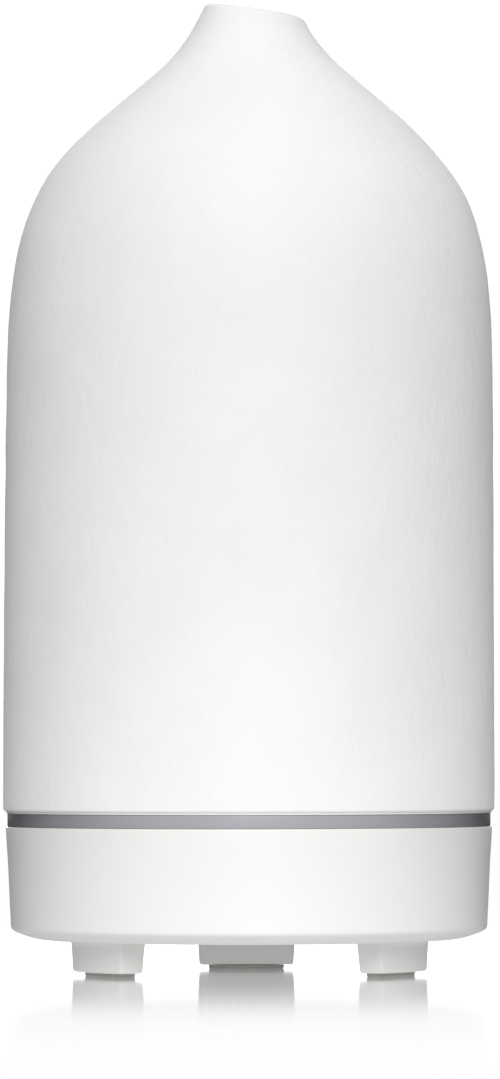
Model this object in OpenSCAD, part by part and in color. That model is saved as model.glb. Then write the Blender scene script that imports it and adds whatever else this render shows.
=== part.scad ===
// Ultrasonic essential oil diffuser with a bell-shaped ceramic cover.
// Millimetres. +Z is up, the front faces -Y, the power inlet and buttons face +Y.
// Origin: centre of the footprint, on the table, under the cover's axis.

/* [Ceramic cover] */
// Outer radius of the ceramic cover near its foot
cover_r = 44.75; // [42:0.25:50]
// Wall thickness of the ceramic cover at its foot
cover_wall = 4; // [3:0.25:5]
// Radius of the mist hole in the nozzle
nozzle_hole_r = 6; // [4:0.25:7]
// Slope of the nozzle's cut top, in degrees
nozzle_slope = 8.8; // [0:0.1:15]
// Direction that the cut falls towards, in degrees from +X
nozzle_turn = -18.8; // [-90:0.1:90]
// Height of the nozzle's cut top on the axis
nozzle_axis_z = 176; // [174:0.1:178]

/* [Base] */
// Height of the base shell's rim
rim_z = 27.1; // [25:0.1:29]
// Outer radius of the base shell at its rim
rim_r = 44.3; // [43:0.1:46]
// Outer radius of the base shell at the foot of its wall
wall_foot_r = 43.4; // [42:0.1:45]
// Height of the inside floor
floor_z = 8.6; // [8:0.1:9]
// Thickness of the base shell's wall
base_wall = 2.2; // [1.6:0.1:3]

/* [Feet] */
// Width of each foot, measured around the base
foot_w = 18; // [14:0.1:20]
// Thickness of each foot, measured outwards
foot_t = 5.8; // [4:0.1:7]
// Distance of each foot's centre from the axis
foot_at = 30; // [26:0.1:32]
// Height of the rubber pads
pad_h = 0.7; // [0.5:0.1:2]

/* [Light ring] */
// Outer radius of the light ring
light_r = 44; // [43:0.1:45]
// Height of the light ring's top face
light_top_z = 29.25; // [28:0.05:30]

/* [Tank] */
// Outer radius of the water tank's wall
tank_r = 33; // [28:0.5:35]
// Thickness of the tank's wall and floor
tank_wall = 2; // [1.5:0.1:3]
// Height of the tank's rim
tank_rim_z = 78; // [60:1:90]

/* [Controls] */
// Height of the inlet and the buttons
port_z = 17; // [16:0.1:18]
// Angle from the inlet to each button, in degrees
button_angle = 18; // [16:0.5:24]
// Radius of the buttons
button_r = 3.5; // [3:0.1:4]

/* [Hidden] */
$fn = 96;

e = 0.01;
seat_z = 29.7;                 // underside of the ceramic cover
deck_z = 30;                   // underside of the tank's deck
fan_y = -24.5;                 // fan axis
chim_y = -22;                  // air chimney axis
piezo_y = 6;                   // transducer axis
board_z = 10.4;                // underside of the main board
board_top = 12;
led_z = 22.6;                  // underside of the LED board
boss_at = 33.5;                // housing screws, distance from the axis
boss_angles = [30, 150, 232, 308];
rib_angles = [0, 50, 130, 180, 220, 270, 320];
foot_angles = [90, 210, 330];
board_screw_xy = [[-20, -6], [20, -6], [-20, 24], [20, 24]];
fan_screw_xy = [[-10, -10], [10, -10], [-10, 10], [10, 10]];
retainer_angles = [90, 210, 330];

ceramic_c = [0.95, 0.95, 0.95];
plastic_c = [0.95, 0.94, 0.91];
smoke_c = [0.55, 0.54, 0.60, 0.8];
frost_c = [0.90, 0.91, 0.92, 0.8];
silicone_c = [0.92, 0.92, 0.92];
rubber_c = [0.32, 0.32, 0.33];
pcb_c = [0.12, 0.38, 0.22];
steel_c = [0.72, 0.72, 0.74];
black_c = [0.10, 0.10, 0.11];
brass_c = [0.78, 0.64, 0.32];
copper_c = [0.72, 0.42, 0.25];
alu_c = [0.80, 0.81, 0.83];

// Outside of the bell, from the foot to the nozzle
cover_out = [[cover_r - 0.75, seat_z], [cover_r - 0.1, 30.3], [cover_r, 31],
  [cover_r - 0.03, 42], [44.55, 75.6], [44.39, 97.5], [44.16, 112.1],
  [43.87, 119.4], [43.25, 126.7], [41.92, 133.9], [40.81, 137.5],
  [39.33, 141.2], [37.35, 144.8], [34.77, 148.4], [31.53, 152.1],
  [27.71, 155.7], [23.45, 159.3], [19.05, 163], [14.98, 166.6],
  [11.97, 170.3], [10.77, 172.1], [9.74, 174.2], [8.9, 175.5],
  [8.35, 176.6], [8.1, 178.5]];
// Inside of the bell, from the nozzle to the foot
cover_in = [[nozzle_hole_r, 178.5], [nozzle_hole_r, 171.5], [7.4, 168.2],
  [11.2, 163.9], [17.4, 158], [24.4, 151.6], [30.2, 146], [34.8, 140],
  [37.9, 132.6], [39.6, 123], [40.3, 100], [cover_r - cover_wall, 60],
  [cover_r - cover_wall, seat_z]];

module rrect(w, d, r) {
  square([w - 2 * r, d], center = true);
  square([w, d - 2 * r], center = true);
  for (x = [-1, 1], y = [-1, 1])
    translate([x * (w / 2 - r), y * (d / 2 - r)]) circle(r, $fn = 32);
}

module ring(ri, ro, z0, z1) {
  difference() {
    translate([0, 0, z0]) cylinder(r = ro, h = z1 - z0);
    translate([0, 0, z0 - 1]) cylinder(r = ri, h = z1 - z0 + 2);
  }
}

module box(x0, x1, y0, y1, z0, z1) {
  translate([x0, y0, z0]) cube([x1 - x0, y1 - y0, z1 - z0]);
}

// Round wire along a smooth path through the points
function lerp3(a, b, t) = a + (b - a) * t;
function cr(p0, p1, p2, p3, t) = 0.5 * (2 * p1 + (p2 - p0) * t
  + (2 * p0 - 5 * p1 + 4 * p2 - p3) * t * t
  + (3 * p1 - p0 - 3 * p2 + p3) * t * t * t);
function path(p, k) = [for (i = [0 : len(p) - 2]) for (j = [0 : k - 1])
    cr(p[max(i - 1, 0)], p[i], p[i + 1], p[min(i + 2, len(p) - 1)], j / k),
  p[len(p) - 1]];
function unit(v) = v / norm(v);
function tangent(q, i) = unit(q[min(i + 1, len(q) - 1)] - q[max(i - 1, 0)]);
module wire(pts, r, up = [0.13, 0.21, 0.97]) {
  q = path(pts, 5);
  n = len(q);
  s = 8;
  v = [for (i = [0 : n - 1]) let (t = tangent(q, i), a = unit(cross(up, t)),
      b = cross(t, a)) for (j = [0 : s - 1])
      q[i] + r * (a * cos(360 * j / s) + b * sin(360 * j / s))];
  f = concat([[for (j = [s - 1 : -1 : 0]) s - 1 - j]],
    [for (i = [0 : n - 2]) for (j = [0 : s - 1])
      [i * s + j, (i + 1) * s + j, (i + 1) * s + (j + 1) % s, i * s + (j + 1) % s]],
    [[for (j = [s - 1 : -1 : 0]) (n - 1) * s + j]]);
  polyhedron(points = v, faces = f, convexity = 6);
}

// ---- cover and lid ----

module ceramic_cover() {
  color(ceramic_c) difference() {
    rotate_extrude() polygon(concat(cover_out, cover_in));
    translate([0, 0, nozzle_axis_z]) rotate([0, 0, nozzle_turn])
      rotate([0, nozzle_slope, 0]) translate([-30, -30, 0]) cube([60, 60, 20]);
  }
}

module cover_seat_ring() {
  color(silicone_c) ring(42, 43.9, light_top_z, seat_z);
}

module inner_cover() {
  color(frost_c) rotate_extrude() polygon([
    [tank_r + 0.35, tank_rim_z - 5], [tank_r + 2, tank_rim_z - 5],
    [tank_r + 2, 82.5], [33.9, 86.2], [31.2, 90.2], [26.8, 94.4],
    [21.2, 98.4], [15.6, 102.4], [11.8, 107], [9.8, 113], [9.2, 122],
    [9, 130], [7.6, 130], [7.8, 122], [8.3, 113.2], [10.3, 106.8],
    [14.4, 101.6], [20.2, 97.4], [25.8, 93.4], [29.8, 89.6], [32.2, 86],
    [33.1, 82.5], [33.1, 80.5], [31.4, 80.5], [31.4, tank_rim_z + 0.3],
    [tank_r + 0.35, tank_rim_z + 0.3]]);
}

// ---- tank ----

module water_tank() {
  color(frost_c) difference() {
    union() {
      rotate_extrude() polygon([
        [0, deck_z], [38.1, deck_z], [38.1, 28.5], [41.4, 28.5],
        [41.4, 29.1], [40.3, 29.1], [40.3, 33], [38.5, 33],
        [38.1, deck_z + tank_wall], [tank_r, deck_z + tank_wall],
        [tank_r, tank_rim_z], [tank_r - tank_wall, tank_rim_z],
        [tank_r - tank_wall, deck_z + tank_wall + 2.5],
        [tank_r - tank_wall - 2.5, deck_z + tank_wall],
        [0, deck_z + tank_wall]]);
      // duct from the fan
      translate([0, fan_y, 18.9]) cylinder(r = 12.1, h = deck_z - 18.9 + 0.5);
      // bosses for the housing screws
      for (a = boss_angles) rotate([0, 0, a]) translate([boss_at, 0, 12.7])
        cylinder(r = 2.6, h = deck_z - 12.7 + 0.5, $fn = 32);
      // transducer seat and its bosses
      translate([0, piezo_y, 27.2]) cylinder(r = 13, h = 3);
      for (a = retainer_angles) translate([0, piezo_y, 27.2]) rotate([0, 0, a])
        translate([15.2, 0, 0]) cylinder(r = 2.6, h = 3, $fn = 32);
    }
    // hole that the air chimney is bonded into
    translate([0, chim_y, deck_z - 1]) cylinder(r = 7.05, h = 60);
    translate([0, fan_y, 18]) cylinder(r = 11, h = deck_z - 18);
    for (a = boss_angles) rotate([0, 0, a]) translate([boss_at, 0, 12])
      cylinder(r = 1.2, h = 13, $fn = 24);
    translate([0, piezo_y, 26]) cylinder(r = 11.6, h = deck_z - 26);
    translate([0, piezo_y, 29]) cylinder(r1 = 7.3, r2 = 8.8, h = 3.5);
    for (a = retainer_angles) translate([0, piezo_y, 27]) rotate([0, 0, a])
      translate([15.2, 0, 0]) cylinder(r = 1, h = 2.6, $fn = 24);
  }
}

module air_chimney() {
  color(frost_c) translate([0, chim_y, 0]) ring(5.5, 7, deck_z, tank_rim_z + 2);
}

module transducer_disc() {
  color(brass_c) translate([0, piezo_y, 28]) cylinder(r = 10, h = 0.7);
}

module transducer_gasket() {
  color(silicone_c) translate([0, piezo_y, 0]) rotate_extrude() polygon([
    [8.4, 27.2], [11.5, 27.2], [11.5, 30], [8.4, 30], [8.4, 28.7],
    [10.05, 28.7], [10.05, 28], [8.4, 28]]);
}

module transducer_retainer() {
  color(plastic_c) translate([0, piezo_y, 0]) difference() {
    union() {
      translate([0, 0, 25.9]) cylinder(r = 12.3, h = 1.3);
      for (a = retainer_angles) rotate([0, 0, a]) {
        translate([15.2, 0, 25.9]) cylinder(r = 2.8, h = 1.3, $fn = 32);
        box(10, 15.2, -2.8, 2.8, 25.9, 27.2);
      }
    }
    translate([0, 0, 25]) cylinder(r = 8, h = 4);
    for (a = retainer_angles) rotate([0, 0, a]) translate([15.2, 0, 25])
      cylinder(r = 1.15, h = 4, $fn = 24);
  }
}

module screw(rh, hh, rs, ls) {
  // head below, shank above, head's underside at z = 0
  difference() {
    translate([0, 0, -hh]) cylinder(r = rh, h = hh, $fn = 32);
    for (a = [0, 90]) rotate([0, 0, a])
      box(-rh * 0.62, rh * 0.62, -0.25, 0.25, -hh - 1, -hh + hh * 0.5);
  }
  cylinder(r = rs, h = ls, $fn = 24);
}

module retainer_screws() {
  color(steel_c) for (a = retainer_angles) translate([0, piezo_y, 25.9])
    rotate([0, 0, a]) translate([15.2, 0, 0]) screw(1.9, 1.3, 0.95, 3.4);
}

// ---- light ----

module light_ring() {
  color(smoke_c) rotate_extrude() polygon([
    [40.8, 27.1], [39.2, 27.1], [39.2, 25.8], [41.8, 25.8], [41.8, rim_z],
    [light_r - 0.15, rim_z], [light_r, rim_z + 0.2],
    [light_r, light_top_z - 0.2], [light_r - 0.2, light_top_z],
    [41.8, light_top_z], [41.8, 28.45], [40.8, 28.45]]);
}

module led_board() {
  color([0.93, 0.93, 0.91]) ring(38, 41.6, led_z, led_z + 1.4);
}

module leds() {
  color([0.97, 0.93, 0.72]) for (i = [0 : 7]) rotate([0, 0, 22.5 + 45 * i]) {
    box(38.4, 41.2, -1.75, 1.75, led_z + 1.4, led_z + 2.3);
    translate([39.8, 0, led_z + 2.2]) cylinder(r = 1.2, h = 0.5, $fn = 24);
  }
}

// ---- base ----

module foot(a) {
  rotate([0, 0, a]) {
    translate([foot_at, 0, pad_h]) rotate([0, 0, 90])
      linear_extrude(height = 6.4 - pad_h) rrect(foot_w, foot_t, 1.3);
    // outer face, run up into the underside in a small fillet
    translate([0, foot_w / 2 - 1.6, 0]) rotate([90, 0, 0])
      linear_extrude(height = foot_w - 3.2) polygon([
        [foot_at, 6.5], [foot_at, pad_h + 0.4], [foot_at + 2.95, pad_h + 0.4],
        [foot_at + 3.05, 5.0], [foot_at + 3.2, 5.55], [foot_at + 3.6, 6.0],
        [foot_at + 4.3, 6.25], [foot_at + 4.3, 7.2], [foot_at, 7.2]]);
  }
}

module base_shell() {
  color(plastic_c) difference() {
    union() {
      rotate_extrude() polygon([
        [0, 6.2], [33.5, 6.2], [37, 6.35], [39.5, 6.65], [41, 7.15],
        [42.26, 7.74], [42.95, 8.2], [wall_foot_r, 9.1],
        [rim_r, rim_z - 0.4], [rim_r - 0.4, rim_z],
        [rim_r - base_wall, rim_z], [wall_foot_r - base_wall, floor_z + 0.8],
        [wall_foot_r - base_wall - 0.8, floor_z], [0, floor_z]]);
      for (a = foot_angles) foot(a);
      // bosses for the housing screws
      for (a = boss_angles) rotate([0, 0, a]) translate([boss_at, 0, floor_z - 1])
        cylinder(r = 3.4, h = 12.4 - floor_z + 1, $fn = 32);
      // posts for the main board
      for (p = board_screw_xy) translate([p[0], p[1], floor_z - 1])
        cylinder(r = 2.2, h = board_z - floor_z + 1, $fn = 32);
      // ribs that carry the LED board
      for (a = rib_angles) rotate([0, 0, a])
        box(39.6, 41.9, -0.75, 0.75, floor_z - 0.5, led_z);
    }
    // recesses and holes for the housing screws
    for (a = boss_angles) rotate([0, 0, a]) translate([boss_at, 0, 0]) {
      translate([0, 0, 4]) cylinder(r = 2.7, h = 5, $fn = 32);
      cylinder(r = 1.4, h = 20, $fn = 24);
    }
    for (p = board_screw_xy) translate([p[0], p[1], 7.4])
      cylinder(r = 0.95, h = 5, $fn = 24);
    for (p = fan_screw_xy) translate([p[0], fan_y + p[1], 7.2])
      cylinder(r = 0.95, h = 5, $fn = 24);
    // air intake under the fan
    translate([0, fan_y, 5]) intersection() {
      cylinder(r = 10.2, h = 5);
      for (i = [-4 : 4]) box(i * 2.3 - 0.65, i * 2.3 + 0.65, -11, 11, 0, 5);
    }
    // holes for the inlet and the buttons
    translate([0, 38, port_z]) rotate([-90, 0, 0]) cylinder(r = 4.2, h = 10, $fn = 48);
    for (s = [-1, 1]) rotate([0, 0, s * button_angle]) translate([0, 38, port_z])
      rotate([-90, 0, 0]) cylinder(r = button_r + 0.3, h = 10, $fn = 48);
  }
}

module pad(a) {
  color(rubber_c) rotate([0, 0, a]) translate([foot_at - 0.8, 0, 0]) rotate([0, 0, 90])
    linear_extrude(height = pad_h) rrect(14, 4, 1.95);
}

module foot_pad_rear() { pad(90); }
module foot_pad_front_left() { pad(210); }
module foot_pad_front_right() { pad(330); }

module housing_screws() {
  color(steel_c) for (a = boss_angles) rotate([0, 0, a])
    translate([boss_at, 0, 9]) screw(2.4, 1.8, 1.15, 15);
}

// ---- fan ----

module fan_frame() {
  color(black_c) translate([0, fan_y, 0]) {
    difference() {
      translate([0, 0, floor_z]) linear_extrude(height = 10) rrect(25, 25, 2.4);
      translate([0, 0, floor_z - 1]) cylinder(r = 11.6, h = 12);
      for (p = fan_screw_xy) translate([p[0], p[1], floor_z - 1])
        cylinder(r = 1.15, h = 12, $fn = 24);
    }
    translate([0, 0, floor_z + 9]) cylinder(r = 5.6, h = 1);
    for (a = [30, 150, 270]) rotate([0, 0, a])
      box(5, 11.9, -0.8, 0.8, floor_z + 9, floor_z + 10);
  }
}

module fan_stator() {
  color(copper_c) translate([0, fan_y, 0]) difference() {
    union() {
      translate([0, 0, 11.8]) cylinder(r = 1.7, h = 17.6 - 11.8, $fn = 32);
      for (a = [0, 90]) rotate([0, 0, a]) box(-4.4, 4.4, -0.9, 0.9, 12.6, 16.4);
      for (a = [0, 90, 180, 270]) rotate([0, 0, a]) box(2.1, 3.5, -1.6, 1.6, 12.3, 16.7);
    }
    translate([0, 0, 11]) cylinder(r = 0.8, h = 7, $fn = 24);
  }
}

module fan_rotor() {
  color([0.14, 0.14, 0.15]) translate([0, fan_y, 0]) {
    difference() {
      union() {
        ring(5.6, 6.8, 9.4, 16.8);
        translate([0, 0, 9.4]) cylinder(r = 6.8, h = 1);
        translate([0, 0, 10]) cylinder(r = 2, h = 1.4, $fn = 32);
      }
      translate([0, 0, 9.9]) cylinder(r = 0.75, h = 4, $fn = 24);
    }
    intersection() {
      ring(6.5, 11.1, 9.7, 16.9);
      for (a = [0 : 360 / 7 : 359]) rotate([0, 0, a]) translate([9, 0, 13.2])
        rotate([38, 0, 0]) cube([6, 0.9, 10], center = true);
    }
  }
}

module fan_magnet() {
  color([0.35, 0.34, 0.34]) translate([0, fan_y, 0]) ring(4.9, 5.6, 11, 16.6);
}

module fan_shaft() {
  color(steel_c) translate([0, fan_y, 9.9]) cylinder(r = 0.75, h = 7.3, $fn = 24);
}

module fan_screws() {
  color(steel_c) for (p = fan_screw_xy) translate([p[0], fan_y + p[1], floor_z + 10])
    mirror([0, 0, 1]) screw(1.6, 1.2, 0.85, 11);
}

// ---- electronics ----

module main_board() {
  color(pcb_c) translate([0, 0, board_z]) difference() {
    linear_extrude(height = board_top - board_z)
      polygon([[-24, -10], [24, -10], [24, 28], [18, 33.4], [-18, 33.4], [-24, 28]]);
    for (p = board_screw_xy) translate([p[0], p[1], -1]) cylinder(r = 1.2, h = 4, $fn = 24);
  }
}

module board_screws() {
  color(steel_c) for (p = board_screw_xy) translate([p[0], p[1], board_top])
    mirror([0, 0, 1]) screw(2, 1.3, 0.85, 4.2);
}

module dc_jack() {
  color(black_c) difference() {
    union() {
      box(-4.5, 4.5, 28, 39.2, board_top, 22);
      translate([0, 38, port_z]) rotate([-90, 0, 0]) cylinder(r = 4, h = 5.3, $fn = 48);
    }
    translate([0, 34.4, port_z]) rotate([-90, 0, 0]) cylinder(r = 3.15, h = 12, $fn = 48);
    translate([0, 30, port_z]) rotate([-90, 0, 0]) cylinder(r = 0.7, h = 12, $fn = 24);
  }
}

module dc_jack_pin() {
  color(steel_c) translate([0, 30, port_z]) rotate([-90, 0, 0]) {
    cylinder(r = 0.7, h = 5, $fn = 24);
    translate([0, 0, 4.6]) cylinder(r = 1, h = 8.1, $fn = 24);
  }
}

module capacitor() {
  color([0.16, 0.18, 0.30]) translate([14, 17, board_top]) cylinder(r = 4, h = 9.4, $fn = 48);
}

module inductor_core() {
  color([0.25, 0.25, 0.26]) translate([-14, 17, board_top]) {
    cylinder(r = 4.6, h = 1.2, $fn = 48);
    cylinder(r = 2.6, h = 6.6, $fn = 32);
    translate([0, 0, 5.4]) cylinder(r = 4.6, h = 1.2, $fn = 48);
  }
}

module inductor_winding() {
  color(copper_c) translate([-14, 17, 0]) difference() {
    translate([0, 0, board_top + 1.3]) cylinder(r = 4.1, h = 4, $fn = 48);
    translate([0, 0, board_top]) cylinder(r = 2.7, h = 8, $fn = 32);
  }
}

module controller_chip() {
  color(black_c) box(-5, 5, 6, 12, board_top + 0.2, board_top + 1.9);
}

module chip_leads() {
  color(steel_c) for (i = [0 : 7], s = [0, 1])
    translate([-4.45 + 1.27 * i, 9, 0]) rotate([0, 0, 180 * s]) {
      box(-0.2, 0.2, 3, 3.7, board_top + 0.9, board_top + 1.15);
      box(-0.2, 0.2, 3.5, 3.75, board_top, board_top + 1.15);
      box(-0.2, 0.2, 3.5, 4.4, board_top, board_top + 0.2);
    }
}

module power_transistor() {
  color(black_c) box(-17.4, -10.8, 0.4, 6.6, board_top, board_top + 2.2);
}

module heat_sink() {
  color(alu_c) {
    box(-19, -9, -1.5, 8.5, board_top + 2.2, board_top + 3.4);
    for (i = [0 : 4]) box(-19 + i * 2.25, -18 + i * 2.25, -1.5, 8.5, board_top + 3.3, board_top + 8.6);
  }
}

module connectors() {
  color([0.94, 0.92, 0.86]) for (x = [-9.5, 0, 9.5]) difference() {
    box(x - 3, x + 3, -9, -4, board_top, board_top + 5.6);
    box(x - 2.2, x + 2.2, -8.2, -4.8, board_top + 1, board_top + 7);
  }
}

// ---- buttons ----

module button(s) {
  rotate([0, 0, s * button_angle]) translate([0, 0, port_z]) rotate([-90, 0, 0]) {
    translate([0, 0, 40]) cylinder(r = 4.5, h = 0.95, $fn = 48);
    translate([0, 0, 40.9]) cylinder(r = button_r, h = 3.3, $fn = 48);
    translate([0, 0, 44.2 - e]) cylinder(r1 = button_r, r2 = button_r - 0.4, h = 0.4, $fn = 48);
  }
}

module plunger(s) {
  color(black_c) rotate([0, 0, s * button_angle]) translate([0, 36.4, port_z])
    rotate([-90, 0, 0]) cylinder(r = 1.6, h = 3.6, $fn = 32);
}

module tact(s) {
  color([0.2, 0.2, 0.21]) rotate([0, 0, s * button_angle]) difference() {
    box(-3.2, 3.2, 34, 38, 12.4, 20.2);
    translate([0, 35.4, port_z]) rotate([-90, 0, 0]) cylinder(r = 1.95, h = 4, $fn = 32);
  }
  color(steel_c) rotate([0, 0, s * button_angle])
    for (x = [-2.6, 1.8]) box(x, x + 0.8, 32, 34.6, board_top, 12.6);
}

module mist_button() { color(plastic_c) button(1); }
module light_button() { color(plastic_c) button(-1); }
module mist_plunger() { plunger(1); }
module light_plunger() { plunger(-1); }
module mist_switch() { tact(1); }
module light_switch() { tact(-1); }

// ---- leads ----

module fan_leads() {
  color([0.75, 0.14, 0.12]) for (s = [-1, 1])
    wire([[9.5 + s * 0.9, -11.5, 16.5], [9.5 + s * 0.9, -10.2, 18.2],
      [9.5 + s * 0.9, -8.0, 19.2], [9.5 + s * 0.9, -6.6, 17.2],
      [9.5 + s * 0.9, -6.5, 13.4]], 0.5);
}

module transducer_leads() {
  color([0.86, 0.86, 0.84]) for (s = [-1, 1])
    wire([[s * 4, piezo_y, 27.9], [s * 3.6, piezo_y - 1.4, 25.2],
      [s * 2.2, 0, 22.4], [s * 1.1, -5, 20], [s * 0.9, -6.6, 16.6],
      [s * 0.9, -6.5, 13.4]], 0.5);
}

module led_leads() {
  color([0.20, 0.35, 0.70]) for (s = [-1, 1])
    wire([[-38.4, s * 0.9 - 7, 22.3], [-36, s * 0.9 - 7, 19.6],
      [-30, s * 0.9 - 6.8, 19.2], [-20, s * 0.9 - 6.6, 20.4],
      [-12, s * 0.9 - 6.5, 19.9], [-9.6, s * 0.9 - 6.5, 17.4],
      [-9.5, s * 0.9 - 6.5, 13.4]], 0.5, [0.1, 0.99, 0.12]);
}

ceramic_cover();
cover_seat_ring();
inner_cover();
water_tank();
air_chimney();
light_ring();
led_board();
leds();
base_shell();
foot_pad_rear();
foot_pad_front_left();
foot_pad_front_right();
housing_screws();
transducer_disc();
transducer_gasket();
transducer_retainer();
retainer_screws();
fan_frame();
fan_stator();
fan_rotor();
fan_magnet();
fan_shaft();
fan_screws();
main_board();
board_screws();
dc_jack();
dc_jack_pin();
capacitor();
inductor_core();
inductor_winding();
controller_chip();
chip_leads();
power_transistor();
heat_sink();
connectors();
mist_button();
light_button();
mist_plunger();
light_plunger();
mist_switch();
light_switch();
fan_leads();
transducer_leads();
led_leads();
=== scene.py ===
import math

import bmesh
import bpy
import numpy as np
from mathutils import Matrix, Vector


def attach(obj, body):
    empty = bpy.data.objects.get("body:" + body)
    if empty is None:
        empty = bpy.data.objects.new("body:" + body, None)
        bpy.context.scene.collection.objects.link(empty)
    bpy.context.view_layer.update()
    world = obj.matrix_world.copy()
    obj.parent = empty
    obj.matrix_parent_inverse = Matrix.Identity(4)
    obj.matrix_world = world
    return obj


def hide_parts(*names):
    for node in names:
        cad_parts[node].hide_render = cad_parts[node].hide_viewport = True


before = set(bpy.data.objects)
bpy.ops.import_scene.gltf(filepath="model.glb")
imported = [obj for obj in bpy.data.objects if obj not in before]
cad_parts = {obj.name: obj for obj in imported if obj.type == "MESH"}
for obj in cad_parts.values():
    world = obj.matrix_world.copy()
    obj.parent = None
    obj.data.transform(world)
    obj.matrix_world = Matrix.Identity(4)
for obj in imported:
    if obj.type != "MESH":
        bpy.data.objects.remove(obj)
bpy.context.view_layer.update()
scene = bpy.context.scene
MM = 0.001


# ------------------------------------------------------------------ camera, lights, stage

cam_data = bpy.data.cameras.new("camera")
cam = bpy.data.objects.new("camera", cam_data)
scene.collection.objects.link(cam)
# the object stands about a degree off square to the camera
AROUND = Matrix.Rotation(math.radians(-1.0), 4, "Z")
CAM_AT = AROUND @ Vector((0.000266, -1.216, 0.041))
CAM_TO = AROUND @ Vector((0.000266, 0.0, 0.0791))
ROLL = math.radians(-0.08)
look = (CAM_TO - CAM_AT).to_track_quat("-Z", "Y").to_matrix().to_4x4()
cam.matrix_world = Matrix.Translation(CAM_AT) @ look @ Matrix.Rotation(ROLL, 4, "Z")
cam_data.sensor_fit = "VERTICAL"
cam_data.sensor_width = 36.0
cam_data.sensor_height = 36.0
cam_data.lens = 222.4
cam_data.clip_start = 0.01
cam_data.clip_end = 50.0
cam_data.dof.use_dof = False
scene.camera = cam

scene.view_settings.view_transform = "Standard"
scene.view_settings.look = "None"
scene.view_settings.exposure = 0.0
scene.view_settings.gamma = 1.0


def area(name, at, to, w, h, power, spread=180.0):
    data = bpy.data.lights.new(name, "AREA")
    data.shape = "RECTANGLE"
    data.size, data.size_y = w, h
    data.energy = power
    data.spread = math.radians(spread)
    ob = bpy.data.objects.new(name, data)
    scene.collection.objects.link(ob)
    ob.location = at
    ob.rotation_euler = (Vector(to) - Vector(at)).to_track_quat("-Z", "Y").to_euler()
    ob.visible_camera = False
    return ob


def polar(az, el, dist):
    """A point at dist from the object's middle; azimuth 0 is the front, elevation up."""
    a, e = math.radians(az), math.radians(el)
    return (math.sin(a) * math.cos(e) * dist, -math.cos(a) * math.cos(e) * dist, 0.09 + math.sin(e) * dist)


# one large softbox above the front, a faint one low in front, and one that only reaches the back
area("key_soft", polar(0, 29, 2.0), (0, 0, 0.09), 1.2, 1.2, 22.2)
area("low_soft", polar(0, 10, 2.0), (0, 0, 0.09), 1.2, 1.2, 8.0)
area("rear_soft", polar(180, 12, 2.5), (0, 0, 0.09), 0.6, 0.6, 30.0)

world = bpy.data.worlds.new("studio")
scene.world = world
world.use_nodes = True
wt = world.node_tree
wt.nodes.clear()


def w_ramp(sock, a, b, c, d):
    m = wt.nodes.new("ShaderNodeMapRange")
    m.interpolation_type = "SMOOTHSTEP"
    for k, v in zip(("From Min", "From Max", "To Min", "To Max"), (a, b, c, d)):
        m.inputs[k].default_value = v
    wt.links.new(sock, m.inputs["Value"])
    return m.outputs[0]


def w_math(op, a, b=None):
    m = wt.nodes.new("ShaderNodeMath")
    m.operation = op
    for i, v in enumerate((a, b)):
        if v is None:
            continue
        if isinstance(v, (int, float)):
            m.inputs[i].default_value = v
        else:
            wt.links.new(v, m.inputs[i])
    return m.outputs[0]


w_out = wt.nodes.new("ShaderNodeOutputWorld")
w_mix = wt.nodes.new("ShaderNodeMixShader")
w_path = wt.nodes.new("ShaderNodeLightPath")
w_cam = wt.nodes.new("ShaderNodeBackground")
w_cam.inputs["Color"].default_value = (1, 1, 1, 1)
w_cam.inputs["Strength"].default_value = 1.05
w_env = wt.nodes.new("ShaderNodeBackground")
w_tex = wt.nodes.new("ShaderNodeTexCoord")
w_sep = wt.nodes.new("ShaderNodeSeparateXYZ")
wt.links.new(w_tex.outputs["Generated"], w_sep.inputs[0])
WX, WY, WZ = w_sep.outputs
w_side = w_ramp(w_math("ABSOLUTE", WX), 0.45, 0.82, 0, 1)
w_centre = w_ramp(w_math("ABSOLUTE", WX), 0.25, 0.55, 1, 0)
w_back = w_ramp(WY, -0.25, 0.25, 0, 1)
w_low = w_ramp(WZ, 0.2, 0.5, 1, 0)
w_high = w_ramp(WZ, 0.6, 0.85, 0, 1)
w_flank = w_ramp(WZ, 0.3, 0.85, 1, 0)
w_mid = w_math("MULTIPLY", w_math("SUBTRACT", 1.0, w_low), w_math("SUBTRACT", 1.0, w_high))
w_bc = w_math("MULTIPLY", w_back, w_centre)
level = w_math("MULTIPLY", w_math("MULTIPLY", w_side, w_math("MULTIPLY", w_flank, w_ramp(WY, -0.62, -0.14, 1, 0))), 1.62)
level = w_math("ADD", level, w_math("MULTIPLY", w_high, 0.84))
level = w_math("ADD", level, w_math("MULTIPLY", w_math("MULTIPLY", w_bc, w_low), 0.958))
level = w_math("ADD", level, w_math("MULTIPLY", w_math("MULTIPLY", w_bc, w_mid), 0.505))
wt.links.new(level, w_env.inputs["Strength"])
wt.links.new(w_path.outputs["Is Camera Ray"], w_mix.inputs[0])
wt.links.new(w_env.outputs[0], w_mix.inputs[1])
wt.links.new(w_cam.outputs[0], w_mix.inputs[2])
wt.links.new(w_mix.outputs[0], w_out.inputs["Surface"])


# ------------------------------------------------------------------ materials

def new_mat(name):
    m = bpy.data.materials.new(name)
    m.use_nodes = True
    t = m.node_tree
    t.nodes.clear()
    out = t.nodes.new("ShaderNodeOutputMaterial")
    p = t.nodes.new("ShaderNodeBsdfPrincipled")
    t.links.new(p.outputs[0], out.inputs["Surface"])
    return m, t, p


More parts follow.
